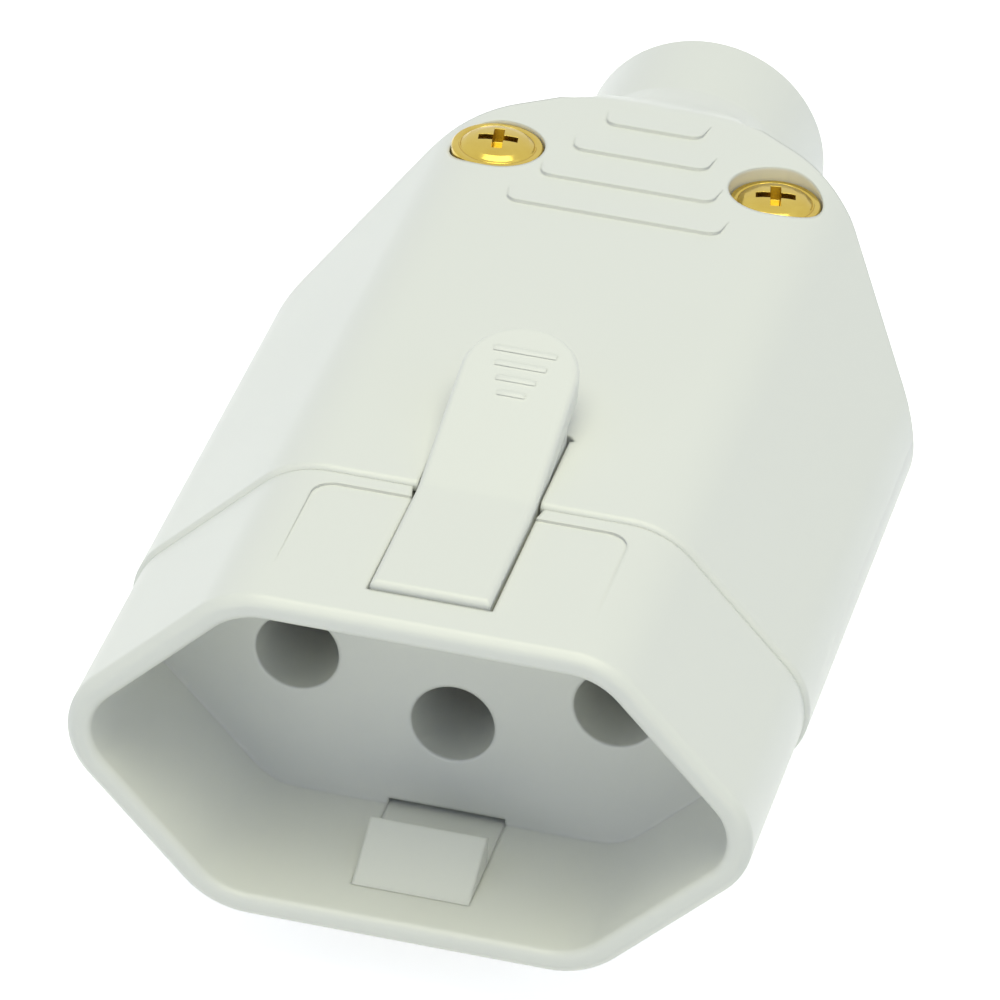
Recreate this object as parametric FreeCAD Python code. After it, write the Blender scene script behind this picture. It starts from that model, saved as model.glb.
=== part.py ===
import FreeCAD, Part
import math
import os

# Inline socket connector for round pins with two rocking side latches.
# Modelling frame: X to the right, Y from the mouth to the cable neck, Z up,
# with Y = 0 in the plane of the mouth and Z = 0 on the axis of the body.

# Recess for the plug: a hexagon with 45 degree sides and rounded corners
recess_flat = 21.0
recess_height = 18.6
recess_depth = 12.0
side_round = 3.0
corner_round = 4.0

# Front body
wall = 1.5
lip_bevel_outer = 0.5
lip_bevel_inner = 0.32
seam_y = 14.8
panel_half_width = 9.3
panel_depth = 0.16
panel_front_y = 2.2
panel_margin = 1.2
panel_round = 1.4

# Rear housing; the strips that blend its tail into the neck end just under the neck's skin
housing_step = 0.25
housing_wall = 1.8
housing_edge_bevel = 0.25
taper_start_y = 42.6
taper_slope = 0.6
taper_start_round = 12.0
shoulder_y = 57.4
shoulder_slope = 1.3
shoulder_round = 3.0
hump_y = 64.0
neck_start_y = 60.0
neck_blend = 7.0
neck_blend_sink = 0.15
neck_strip = 1.8
neck_radius = 7.85
neck_end_y = 79.7
neck_edge_bevel = 0.6
cable_bore_radius = 4.6
cavity_end_y = 60.6

# Grip ribs on the housing
rib_count = 4
rib_first_y = 48.7
rib_pitch = 3.8
rib_first_half = 6.6
rib_shorter = 1.2
rib_depth = 2.2
rib_height = 0.38
rib_sink = 0.5
rib_flare = 0.3
rib_round = 0.8

# Fit of the front body's spigot in the housing
spigot_gap = 0.15
spigot_wall = 1.5
spigot_length = 4.0

# Pins of the plug that goes in
pin_spacing = 19.0
earth_drop = 3.0
pin_hole_radius = 2.5
pin_hole_land = 8.0

# Contacts: rolled strip
contact_bore_radius = 2.45
contact_strip = 0.48
contact_length = 8.4
contact_slit = 1.0
contact_tail_width = 4.0
contact_tail_length = 9.0
contact_tail_root = 3.0
contact_gap = 0.15

# Contact towers and terminal tray
tower_wall = 0.85
tray_length = 10.4
tray_wall = 1.1
tray_floor = 1.2
tray_top = 3.1
partition_gap = 0.3
rail_top_drop = 4.0

# Terminals
terminal_width = 6.4
terminal_length = 8.0
terminal_height = 7.0
terminal_base = 1.05
terminal_roof = 1.6
terminal_side = 1.0
terminal_screw_radius = 1.5
terminal_screw_reach = 2.8
terminal_thread_foot = 1.0
terminal_screw_head_radius = 2.3
terminal_screw_head = 1.6
thread_gap = 0.03
loose_gap = 0.1

# Driver slots of the terminal screws and the cover screw
driver_slot_width = 0.6
driver_slot_depth = 0.6

# Cover over the terminals
cover_thickness = 1.2
cover_tongue_half = 4.6
cover_screw_y = 25.0
cover_screw_radius = 0.9
cover_screw_length = 3.2
cover_screw_hole = 2.2
cover_screw_head_radius = 1.9
cover_screw_head = 1.2
cover_boss_radius = 2.2
access_window_half = 2.6

# Clamp screws, their bushes and the legs that carry them
screw_x = 8.8
screw_y = 55.6
screw_radius = 1.5
screw_head_radius = 2.85
screw_head_rim = 1.1
screw_head_crown = 0.5
screw_crown_radius = 1.7
screw_seat_depth = 1.9
left_screw_backed_off = 0.7
cross_recess_half = 1.45
cross_recess_width = 0.75
cross_recess_depth = 0.95
counterbore_gap = 0.1
screw_length = 17.0
leg_half_gap = 6.4
leg_width = 5.0
leg_thickness = 2.2
leg_boss_radius = 2.5
leg_boss_top = -3.6
leg_boss_height = 4.6
insert_radius = 1.9
insert_length = 4.2
leg_boss_gap = 0.15
post_foot_z = 4.7
saddle_arch_depth = 0.8

# Cord clamp bar
clamp_thickness = 2.2
clamp_depth = 4.6
clamp_arch_radius = 4.8
clamp_hole_gap = 0.15

# Latches
latch_width = 7.0
latch_gap = 0.4
latch_proud = 0.5
latch_arm_start = 3.2
latch_crease_y = 14.2
latch_crease_round = 2.5
latch_tip_y = 27.4
latch_tip_flat = 0.02
latch_slope_deg = 16.6
latch_pad_thickness = 1.5
latch_edge_bevel = 0.25
hook_half_width = 3.5
hook_toe_y = 3.5
hook_heel_y = 7.5
hook_height = 2.2
hook_tip_round = 0.2
grip_count = 4
grip_pitch = 1.15
grip_first_half = 1.9
grip_shorter = 0.35
grip_width = 0.45
grip_height = 0.14
grip_sink = 0.3
grip_back = 2.2

# Latch pivots
pivot_behind_seam = 1.1
pivot_z = 8.6
pivot_pin_radius = 0.75
pivot_boss_radius = 1.5
pivot_running_gap = 0.06
pivot_press_gap = 0.02
ear_thickness = 1.6
ear_root_depth = 4.0
ear_pocket_gap = 0.3
relief_gap = 0.3
housing_notch_end = 22.8
housing_notch_drop = 3.0
notch_round = 0.8

# Latch springs
spring_y = 20.2
spring_seat_z = 7.2
spring_radius = 1.5
spring_wire = 0.22
spring_turns = 4
spring_runs_per_turn = 8
spring_wire_sides = 6
spring_end_gap = 0.1
spring_nib_radius = 0.9
spring_nib_height = 1.0
spring_seat_half = 1.9
spring_foot_sink = 0.3

# Sizes that follow from the ones above
half_height = recess_height / 2
housing_offset = wall + housing_step
inner_offset = housing_offset - housing_wall
spigot_offset = inner_offset - spigot_gap
housing_top = half_height + housing_offset
front_top = half_height + wall
latch_top_z = front_top + latch_proud
latch_slope = math.tan(math.radians(latch_slope_deg))
pivot_y = seam_y + pivot_behind_seam
contact_outer_radius = contact_bore_radius + contact_strip
chamber_radius = contact_outer_radius + contact_gap
tower_radius = chamber_radius + tower_wall
chamber_start_y = recess_depth + pin_hole_land
contact_start_y = chamber_start_y + loose_gap
contact_end_y = contact_start_y + contact_length
tower_end_y = contact_end_y
tray_end_y = tower_end_y + tray_length
terminal_start_y = tower_end_y + 2 * loose_gap
terminal_screw_y = terminal_start_y + terminal_length / 2
cover_bottom = tray_top + loose_gap
cover_top = cover_bottom + cover_thickness
pins = {
    "live": (-pin_spacing / 2, 0.0),
    "neutral": (pin_spacing / 2, 0.0),
    "earth": (0.0, -earth_drop),
}
partition_x = pins["neutral"][0] - terminal_width / 2 - partition_gap - tray_wall


def vec(x, y, z):
    return FreeCAD.Vector(x, y, z)


def across(y):
    """Lift of a flat outline into the plane at this Y."""
    return lambda u, v: vec(u, y, v)


def from_above(z):
    """Lift of a plan outline into the plane at this Z."""
    return lambda u, v: vec(u, v, z)


def from_side(x):
    """Lift of a side outline, Y then Z, into the plane at this X."""
    return lambda u, v: vec(x, u, v)


def rounded_wire(corners, radii, lift):
    """Closed outline of straight runs with an arc at each rounded corner."""
    count = len(corners)
    turns = []
    for i in range(count):
        corner = vec(corners[i][0], corners[i][1], 0)
        before = vec(corners[i - 1][0], corners[i - 1][1], 0) - corner
        after = vec(corners[(i + 1) % count][0], corners[(i + 1) % count][1], 0) - corner
        before.normalize()
        after.normalize()
        half_angle = before.getAngle(after) / 2
        reach = radii[i] / math.tan(half_angle)
        inward = before + after
        inward.normalize()
        middle = corner + inward * (radii[i] / math.sin(half_angle) - radii[i])
        turns.append((corner + before * reach, middle, corner + after * reach, radii[i] > 0))
    edges = []
    for i in range(count):
        start, middle, end, is_round = turns[i]
        if is_round:
            arc = Part.Arc(lift(start.x, start.y), lift(middle.x, middle.y), lift(end.x, end.y))
            edges.append(arc.toShape())
        next_start = turns[(i + 1) % count][0]
        if (next_start - end).Length > 1e-6:
            run = Part.LineSegment(lift(end.x, end.y), lift(next_start.x, next_start.y))
            edges.append(run.toShape())
    return Part.Wire(edges)


def prism(corners, radii, lift, travel):
    """Solid pushed out of a rounded outline along a vector."""
    return Part.Face(rounded_wire(corners, radii, lift)).extrude(travel)


def block(x0, x1, y0, y1, z0, z1):
    return Part.makeBox(x1 - x0, y1 - y0, z1 - z0, vec(x0, y0, z0))


def rod_y(radius, x, z, y0, y1):
    return Part.makeCylinder(radius, y1 - y0, vec(x, y0, z), vec(0, 1, 0))


def rod_z(radius, x, y, z0, z1):
    return Part.makeCylinder(radius, z1 - z0, vec(x, y, z0), vec(0, 0, 1))


def rod_x(radius, y, z, x0, x1):
    return Part.makeCylinder(radius, x1 - x0, vec(x0, y, z), vec(1, 0, 0))


def hexagon(offset):
    """Corners and radii of the recess outline moved outwards by an offset."""
    top = half_height + offset
    flat = recess_flat / 2 + offset * math.tan(math.radians(22.5))
    side = flat + top
    corners = [(side, 0), (flat, top), (-flat, top), (-side, 0), (-flat, -top), (flat, -top)]
    soft_side = side_round + offset
    soft_corner = corner_round + offset
    return corners, [soft_side, soft_corner, soft_corner, soft_side, soft_corner, soft_corner]


def hex_prism(offset, y0, y1):
    corners, radii = hexagon(offset)
    return prism(corners, radii, across(y0), vec(0, y1 - y0, 0))


def turned_over(shape):
    """The same piece turned half a turn about the body's axis."""
    copy = shape.copy()
    copy.rotate(vec(0, 0, 0), vec(0, 1, 0), 180)
    return copy


def both_faces(shape):
    return [shape, turned_over(shape)]


def latch_under(y):
    """Height of the finger pad's underside at this Y."""
    drop = latch_pad_thickness / math.cos(math.radians(latch_slope_deg))
    return latch_top_z + (y - latch_crease_y) * latch_slope - drop


# Front body


def mouth_cup():
    """Cup with the plug recess and a bevelled lip."""
    cup = hex_prism(wall, 0, seam_y).cut(hex_prism(0, 0, recess_depth))
    front = [face for face in cup.Faces if face.BoundBox.YMax < 1e-6][0]
    outer = front.OuterWire.Edges
    cup = cup.makeChamfer(lip_bevel_outer, outer)
    front = [face for face in cup.Faces if face.BoundBox.YMax < 1e-6][0]
    inner_wire = sorted(front.Wires, key=lambda wire: wire.BoundBox.XLength)[0]
    return cup.makeChamfer(lip_bevel_inner, inner_wire.Edges)


def panel_recess():
    """Shallow sloping panel sunk in the flat top, deepest near the seam."""
    rear = seam_y - panel_margin
    half = panel_half_width
    corners = [(-half, 0), (half, 0), (half, rear), (-half, rear)]
    plan = prism(corners, [0, 0, panel_round, panel_round], from_above(front_top - 1), vec(0, 0, 2))
    above = front_top + 1
    low = front_top - panel_depth
    side = [(panel_front_y, front_top), (rear, low), (rear, above), (panel_front_y, above)]
    wedge = prism(side, [0, 0, 0, 0], from_side(-half), vec(2 * half, 0, 0))
    return plan.common(wedge)


def latch_slot():
    """Window through the cup wall and notch in the floor for one latch."""
    half = latch_width / 2 + latch_gap
    floor = half_height - latch_gap
    window = block(-half, half, latch_arm_start - latch_gap, seam_y, floor, front_top + 1)
    ring = block(-half, half, seam_y, seam_y + spigot_length + 1, spring_seat_z - loose_gap, front_top)
    relief = rod_x(pivot_boss_radius + relief_gap, pivot_y, pivot_z, -half, half)
    return window.fuse([ring, relief])


def latch_ears():
    """Pair of ears that carry a latch pin."""
    inner = latch_width / 2 + latch_gap
    ears = []
    for side in (-1, 1):
        x0 = min(side * inner, side * (inner + ear_thickness))
        x1 = x0 + ear_thickness
        plate = block(x0, x1, seam_y - 1, pivot_y + pivot_boss_radius, pivot_z - ear_root_depth, pivot_z)
        root = block(x0, x1, seam_y - 1, pivot_y, pivot_z - ear_root_depth, pivot_z + pivot_boss_radius)
        root = root.cut(block(x0 - 1, x1 + 1, seam_y - 2, seam_y, pivot_z, front_top))
        ears.append(plate.fuse([root, rod_x(pivot_boss_radius, pivot_y, pivot_z, x0, x1)]))
    return ears


def spring_seat(foot_z):
    """Post from the earth tower up to a spring's seat, with a locating nib."""
    half = spring_seat_half
    post = block(-half, half, spring_y - half, spring_y + half, foot_z, spring_seat_z)
    return post.fuse(rod_z(spring_nib_radius, 0, spring_y, spring_seat_z, spring_seat_z + spring_nib_height))


def tray():
    """Rails, trough and walls that hold the three terminals."""
    rail_top = -rail_top_drop
    rail_floor = rail_top - tray_floor
    trough_top = rail_top - earth_drop
    wall_x = pins["neutral"][0] + terminal_width / 2 + loose_gap
    pieces = [block(-partition_x - tray_wall, partition_x + tray_wall, tower_end_y - 1, tray_end_y,
                    trough_top - tray_floor, trough_top)]
    for side in (-1, 1):
        for inner, outer, y0, z0, z1 in (
            (partition_x, wall_x + tray_wall, seam_y - 1, rail_floor, rail_top),
            (wall_x, wall_x + tray_wall, tower_end_y - 1, rail_floor, tray_top),
            (partition_x, partition_x + tray_wall, tower_end_y - 1, trough_top - tray_floor, tray_top),
        ):
            x0 = min(side * inner, side * outer)
            x1 = max(side * inner, side * outer)
            pieces.append(block(x0, x1, y0, tray_end_y, z0, z1))
    return pieces


def legs():
    """Two legs that reach back to the clamp screws, joined by a saddle under the cable."""
    top = -rail_top_drop
    pieces = []
    for side in (-1, 1):
        near = side * leg_half_gap
        far = side * (leg_half_gap + leg_width)
        x0 = min(near, far)
        x1 = max(near, far)
        pieces.append(block(x0, x1, tray_end_y - 1, screw_y - leg_boss_radius / 2, top - leg_thickness, top))
        boss_foot = leg_boss_top - leg_boss_height
        pieces.append(rod_z(leg_boss_radius, side * screw_x, screw_y, boss_foot, leg_boss_top))
    half_depth = clamp_depth / 2
    front = screw_y - half_depth
    rear = screw_y + half_depth
    saddle = block(-leg_half_gap - 1, leg_half_gap + 1, front, rear, top - leg_thickness, top)
    arch = rod_y(clamp_arch_radius, 0, top - saddle_arch_depth + clamp_arch_radius, front - 1, rear + 1)
    return pieces + [saddle.cut(arch)]


def make_front_body():
    body = mouth_cup()
    ring_end = seam_y + spigot_length
    ring = hex_prism(spigot_offset, seam_y, ring_end)
    ring = ring.cut(hex_prism(spigot_offset - spigot_wall, seam_y, ring_end))
    towers = [rod_y(tower_radius, x, z, seam_y - 1, tower_end_y) for x, z in pins.values()]
    earth_z = pins["earth"][1]
    foot = chamber_radius + spring_foot_sink
    boss = rod_z(cover_boss_radius, 0, cover_screw_y, earth_z + foot, tray_top)
    seats = [spring_seat(earth_z + foot), turned_over(spring_seat(-earth_z + foot))]
    body = body.fuse([ring] + towers + [boss] + seats + tray() + legs())
    cuts = both_faces(latch_slot()) + both_faces(panel_recess())
    for x, z in pins.values():
        cuts.append(rod_y(pin_hole_radius, x, z, recess_depth - 1, chamber_start_y + 1))
        cuts.append(rod_y(chamber_radius, x, z, chamber_start_y, tower_end_y))
    hole_foot = tray_top - cover_screw_hole
    cuts.append(rod_z(cover_screw_radius + thread_gap, 0, cover_screw_y, hole_foot, tray_top + 1))
    for side in (-1, 1):
        cuts.append(rod_z(insert_radius + thread_gap, side * screw_x, screw_y,
                          leg_boss_top - insert_length, leg_boss_top + 1))
        cuts.append(rod_z(screw_radius + thread_gap, side * screw_x, screw_y,
                          leg_boss_top - leg_boss_height - 1, leg_boss_top))
    body = body.cut(cuts)
    ears = latch_ears()
    body = body.fuse(ears + [turned_over(ear) for ear in ears])
    hole = rod_x(pivot_pin_radius + pivot_press_gap, pivot_y, pivot_z, -front_top, front_top)
    return body.cut(both_faces(hole)).removeSplitter()


# Rear housing


def taper_plan(inset, rear_y):
    """Plan outline of the housing: two tapers and a blunt end, all moved inwards by an inset."""
    side_x = hexagon(housing_offset)[0][0][0]
    shoulder_x = side_x - taper_slope * (shoulder_y - taper_start_y)
    lower = inset * math.hypot(1, taper_slope)
    upper = inset * math.hypot(1, shoulder_slope)
    step = (upper - lower) / (shoulder_slope - taper_slope)
    bend = (shoulder_x - lower + taper_slope * step, shoulder_y - step)
    start_y = taper_start_y - lower / taper_slope
    rear_x = shoulder_x - upper - shoulder_slope * (rear_y - shoulder_y)
    front_y = seam_y - 1
    right = [(side_x, front_y), (side_x, start_y), bend, (rear_x, rear_y)]
    return right + [(-x, y) for x, y in reversed(right)]


def housing_outside():
    """Hexagonal body with a tapered tail, blended into the round neck."""
    tall = housing_top + 1
    radii = [0, taper_start_round, shoulder_round, 0]
    plan = prism(taper_plan(0, hump_y), radii + radii[::-1], from_above(-tall), vec(0, 0, 2 * tall))
    body = hex_prism(housing_offset, seam_y, hump_y).common(plan)
    neck = rod_y(neck_radius, 0, 0, neck_start_y, neck_end_y)
    rim = [edge for edge in neck.Edges if edge.BoundBox.YMin > neck_end_y - 1e-6]
    neck = neck.makeChamfer(neck_edge_bevel, rim)
    front = [face for face in body.Faces if face.BoundBox.YMax < seam_y + 1e-6][0]
    body = body.makeChamfer(housing_edge_bevel, front.OuterWire.Edges)
    return body.fuse([tail_to_neck(), neck])


def tail_to_neck():
    """Straight strips from the rectangular end of the taper to the round neck."""
    half_x = taper_plan(0, hump_y)[3][0]
    half_z = housing_top
    corners = [(half_x, -half_z), (half_x, half_z), (-half_x, half_z), (-half_x, -half_z)]
    around = 4 * (half_x + half_z)
    end_radius = neck_radius - neck_blend_sink
    near = []
    far = []
    travelled = -half_z
    for i in range(4):
        start = corners[i]
        end = corners[(i + 1) % 4]
        length = math.hypot(end[0] - start[0], end[1] - start[1])
        count = math.ceil(length / neck_strip)
        for k in range(count):
            part = k / count
            x = start[0] + (end[0] - start[0]) * part
            z = start[1] + (end[1] - start[1]) * part
            near.append(vec(x, hump_y, z))
            turn = 2 * math.pi * (travelled + length * part) / around
            far.append(vec(end_radius * math.cos(turn), hump_y + neck_blend, end_radius * math.sin(turn)))
        travelled += length
    faces = [Part.Face(Part.makePolygon(near + near[:1])), Part.Face(Part.makePolygon(far + far[:1]))]
    for i in range(len(near)):
        k = (i + 1) % len(near)
        faces.append(Part.Face(Part.makePolygon([near[i], near[k], far[i], near[i]])))
        faces.append(Part.Face(Part.makePolygon([near[k], far[k], far[i], near[k]])))
    return Part.Solid(Part.Shell(faces))


def grip_rib(index):
    """One shingle-shaped rib: a low step at the front that fades to the rear."""
    front = rib_first_y + index * rib_pitch
    half = rib_first_half - index * rib_shorter
    rear = front + rib_depth
    corners = [(-half, front), (half, front), (half + rib_flare, rear), (-half - rib_flare, rear)]
    plan = prism(corners, [rib_round, rib_round, 0, 0], from_above(housing_top - 1), vec(0, 0, 2))
    foot = housing_top - rib_sink
    side = [(front, foot), (rear, foot), (rear, housing_top), (front, housing_top + rib_height)]
    reach = half + rib_flare
    return plan.common(prism(side, [0, 0, 0, 0], from_side(-reach), vec(2 * reach, 0, 0)))


def latch_notch():
    """Notch in the housing under one finger pad, with pockets for the ears."""
    half = latch_width / 2 + latch_gap
    front = seam_y - 1
    rear = housing_notch_end
    floor = pivot_z - housing_notch_drop
    corners = [(-half, front), (half, front), (half, rear), (-half, rear)]
    radii = [0, 0, notch_round, notch_round]
    notch = prism(corners, radii, from_above(floor), vec(0, 0, housing_top + 1 - floor))
    side = half + ear_thickness + ear_pocket_gap
    pocket = block(-side, side, front, pivot_y + pivot_boss_radius + ear_pocket_gap,
                   floor, pivot_z + pivot_boss_radius + ear_pocket_gap)
    return notch.fuse(pocket)


def make_rear_housing():
    body = housing_outside()
    ribs = [grip_rib(index) for index in range(rib_count)]
    body = body.fuse(ribs + [turned_over(rib) for rib in ribs])
    tall = housing_top + 1
    plan = prism(taper_plan(housing_wall, cavity_end_y), [0] * 8, from_above(-tall), vec(0, 0, 2 * tall))
    cavity = hex_prism(inner_offset, seam_y - 1, cavity_end_y).common(plan)
    inner_top = half_height + inner_offset
    pockets = []
    posts = []
    cuts = []
    for side in (-1, 1):
        x = side * screw_x
        pockets.append(rod_z(leg_boss_radius + leg_boss_gap, x, screw_y, -inner_top, post_foot_z))
        posts.append(rod_z(leg_boss_radius, x, screw_y, post_foot_z, housing_top - screw_seat_depth))
        cuts.append(rod_z(screw_radius + clamp_hole_gap, x, screw_y, 0, housing_top))
        seat_z = housing_top - screw_seat_depth
        cuts.append(rod_z(screw_head_radius + counterbore_gap, x, screw_y, seat_z, housing_top + 1))
    cavity = cavity.fuse(pockets)
    body = body.cut(cavity).fuse(posts)
    cuts.append(rod_y(cable_bore_radius, 0, 0, cavity_end_y - 1, neck_end_y))
    cuts += both_faces(latch_notch())
    return body.cut(cuts).removeSplitter()


# Latches


def latch_profile():
    """Side outline of a latch: arm, finger pad, web down to the pivot and hook."""
    slope_angle = math.radians(latch_slope_deg)
    tip_top = latch_top_z + (latch_tip_y - latch_crease_y) * latch_slope
    under_tip_y = latch_tip_y + latch_pad_thickness * math.sin(slope_angle)
    under_tip_z = tip_top - latch_pad_thickness * math.cos(slope_angle)
    web_rear = pivot_y + pivot_boss_radius
    web_front = pivot_y - pivot_boss_radius
    corners = [
        (latch_arm_start, half_height),
        (latch_arm_start, latch_top_z),
        (latch_crease_y, latch_top_z),
        (latch_tip_y, tip_top),
        (under_tip_y, under_tip_z),
        (web_rear, latch_under(web_rear)),
        (web_rear, pivot_z),
        (web_front, pivot_z),
        (web_front, half_height),
    ]
    radii = [0, 0, latch_crease_round, 0, 0, 0, 0, 0, 0]
    return corners, radii


def make_latch():
    half = latch_width / 2
    corners, radii = latch_profile()
    body = prism(corners, radii, from_side(-half), vec(latch_width, 0, 0))
    rear = latch_tip_y
    plan_corners = [(-half, latch_arm_start), (half, latch_arm_start), (half, rear), (-half, rear)]
    tip_round = half - latch_tip_flat / 2
    plan = prism(plan_corners, [0, 0, tip_round, tip_round], from_above(0), vec(0, 0, 2 * front_top))
    body = body.common(plan)
    body = body.makeChamfer(latch_edge_bevel, latch_top_edges(body))
    tip_z = half_height - hook_height
    outline = [(hook_toe_y, half_height), (hook_heel_y, half_height), (hook_heel_y, tip_z)]
    across_hook = vec(2 * hook_half_width, 0, 0)
    hook = prism(outline, [0, 0, hook_tip_round], from_side(-hook_half_width), across_hook)
    under = latch_under(spring_y)
    nib = rod_z(spring_nib_radius, 0, spring_y, under - spring_nib_height, under + latch_pad_thickness / 2)
    boss = rod_x(pivot_boss_radius, pivot_y, pivot_z, -half, half)
    body = body.fuse([hook, nib, boss] + [grip_ridge(index) for index in range(grip_count)])
    pin_hole = rod_x(pivot_pin_radius + pivot_running_gap, pivot_y, pivot_z, -half - 1, half + 1)
    return body.cut(pin_hole).removeSplitter()


def latch_top_edges(body):
    """Outer edges of the latch's upper surface, without the two lines of its crease."""
    found = []
    for edge in body.Edges:
        box = edge.BoundBox
        if box.ZMin < latch_top_z - 1e-4:
            continue
        middle = edge.valueAt((edge.FirstParameter + edge.LastParameter) / 2)
        surface_z = latch_top_z + max(0, middle.y - latch_crease_y) * latch_slope
        near_crease = abs(middle.y - latch_crease_y) < latch_crease_round
        is_crease = near_crease and box.XLength > latch_width - 1e-3
        if middle.z > surface_z - 1e-2 and not is_crease:
            found.append(edge)
    return found


def grip_ridge(index):
    """One short raised bar across the finger pad, shorter towards the crease."""
    half = grip_first_half - index * grip_shorter
    bar = block(-half, half, -grip_width / 2, grip_width / 2, -grip_sink, grip_height)
    along = (latch_tip_y - latch_crease_y) / math.cos(math.radians(latch_slope_deg))
    bar.translate(vec(0, along - grip_back - index * grip_pitch, 0))
    bar.rotate(vec(0, 0, 0), vec(1, 0, 0), latch_slope_deg)
    bar.translate(vec(0, latch_crease_y, latch_top_z))
    return bar


def make_latch_pin():
    reach = latch_width / 2 + latch_gap + ear_thickness - loose_gap
    return rod_x(pivot_pin_radius, pivot_y, pivot_z, -reach, reach)


def make_latch_spring():
    """Coil spring between its seat and the finger pad, bent in short straight runs."""
    bottom = spring_seat_z + spring_wire + spring_end_gap
    top = latch_under(spring_y - spring_radius) - spring_wire - spring_end_gap
    height = top - bottom
    count = spring_turns * spring_runs_per_turn
    points = []
    for i in range(count + 1):
        turn = 2 * math.pi * i / spring_runs_per_turn
        x = spring_radius * math.cos(turn)
        y = spring_radius * math.sin(turn)
        points.append(vec(x, y, height * i / count))
    run = points[1] - points[0]
    outwards = vec(1, 0, 0)
    upwards = run.cross(outwards).normalize()
    section = []
    for i in range(spring_wire_sides + 1):
        turn = 2 * math.pi * i / spring_wire_sides
        section.append(points[0] + (outwards * math.cos(turn) + upwards * math.sin(turn)) * spring_wire)
    coil = Part.makePolygon(points).makePipeShell([Part.makePolygon(section)], True, False, 1)
    coil.translate(vec(0, spring_y, bottom))
    return coil


# Contacts and terminals


def make_contact(x, z):
    """Sleeve rolled from strip, open along its top, with a tail for the wire."""
    sleeve = rod_y(contact_outer_radius, x, z, contact_start_y, contact_end_y)
    bore = rod_y(contact_bore_radius, x, z, contact_start_y - 1, contact_end_y + 1)
    half_slit = contact_slit / 2
    slit = block(x - half_slit, x + half_slit, contact_start_y - 1, contact_end_y + 1, z, z + tower_radius)
    under = z - contact_outer_radius
    tail_end = contact_end_y + contact_tail_length
    half_tail = contact_tail_width / 2
    tail_front = contact_end_y - contact_tail_root
    tail = block(x - half_tail, x + half_tail, tail_front, tail_end, under, z - contact_bore_radius)
    rolled = rod_y(contact_outer_radius, x, z, tail_front, contact_end_y)
    flat = block(x - half_tail, x + half_tail, contact_end_y, tail_end, under, z)
    tail = tail.common(rolled.fuse(flat))
    return sleeve.fuse(tail).cut([slit, bore]).removeSplitter()


def make_terminal(x, z):
    """Brass cage: the wire and the contact's tail pass through its window."""
    bottom = z - rail_top_drop
    half = terminal_width / 2
    end = terminal_start_y + terminal_length
    cage = block(x - half, x + half, terminal_start_y, end, bottom, bottom + terminal_height)
    top = bottom + terminal_height
    window = block(x - half + terminal_side, x + half - terminal_side, terminal_start_y - 1, end + 1,
                   bottom + terminal_base, top - terminal_roof)
    thread_foot = bottom + terminal_base + terminal_thread_foot
    thread = rod_z(terminal_screw_radius + thread_gap, x, terminal_screw_y, thread_foot, top + 1)
    return cage.cut([window, thread])


def make_cheese_screw(x, y, seat_z, radius, length, head_radius, head_height):
    """Slotted screw with a flat round head that sits on a seat."""
    shank = rod_z(radius, x, y, seat_z - length, seat_z)
    head = rod_z(head_radius, x, y, seat_z, seat_z + head_height)
    top = seat_z + head_height
    slot = block(x - head_radius, x + head_radius, y - driver_slot_width / 2, y + driver_slot_width / 2,
                 top - driver_slot_depth, top + 1)
    return shank.fuse(head).cut(slot).removeSplitter()


def make_contact_cover():
    """Plate on the tray walls with a tongue to its screw and three access windows."""
    half = pins["neutral"][0] + terminal_width / 2 + tray_wall
    front = tower_end_y + 2 * loose_gap
    plate = block(-half, half, front, tray_end_y, cover_bottom, cover_top)
    tongue_front = cover_screw_y - cover_boss_radius
    tongue = block(-cover_tongue_half, cover_tongue_half, tongue_front, front + 1, cover_bottom, cover_top)
    holes = [rod_z(cover_screw_radius + loose_gap, 0, cover_screw_y, cover_bottom - 1, cover_top + 1)]
    reach = access_window_half
    for x, z in pins.values():
        holes.append(block(x - reach, x + reach, terminal_screw_y - reach, terminal_screw_y + reach,
                           cover_bottom - 1, cover_top + 1))
    return plate.fuse(tongue).cut(holes).removeSplitter()


# Cord clamp


def make_cord_clamp():
    """Bar with an arched underside; the housing's screw posts press on its ends."""
    top = post_foot_z - loose_gap
    bottom = top - clamp_thickness
    half_depth = clamp_depth / 2
    end = screw_x + leg_boss_radius - half_depth
    bar = block(-end, end, screw_y - half_depth, screw_y + half_depth, bottom, top)
    bar = bar.fuse([rod_z(half_depth, side * end, screw_y, bottom, top) for side in (-1, 1)])
    arch_z = bottom - clamp_arch_radius + clamp_thickness / 2
    cuts = [rod_y(clamp_arch_radius, 0, arch_z, screw_y - half_depth - 1, screw_y + half_depth + 1)]
    for side in (-1, 1):
        cuts.append(rod_z(screw_radius + clamp_hole_gap, side * screw_x, screw_y, bottom - 1, top + 1))
    return bar.cut(cuts).removeSplitter()


def make_clamp_screw(side):
    """Pan head screw in its counterbore: a low crown with a cross recess."""
    top = screw_head_rim + screw_head_crown
    head = rod_z(screw_head_radius, 0, 0, 0, screw_head_rim)
    crown_foot = vec(0, 0, screw_head_rim)
    crown = Part.makeCone(screw_head_radius, screw_crown_radius, screw_head_crown, crown_foot, vec(0, 0, 1))
    head = head.fuse(crown)
    shank = rod_z(screw_radius, 0, 0, -screw_length, 0)
    half = cross_recess_half
    thin = cross_recess_width / 2
    deep = top - cross_recess_depth
    cross = [block(-half, half, -thin, thin, deep, top + 1), block(-thin, thin, -half, half, deep, top + 1)]
    screw = head.fuse(shank).cut(cross).removeSplitter()
    lift = left_screw_backed_off if side < 0 else 0
    screw.translate(vec(side * screw_x, screw_y, housing_top - screw_seat_depth + lift))
    return screw


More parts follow.
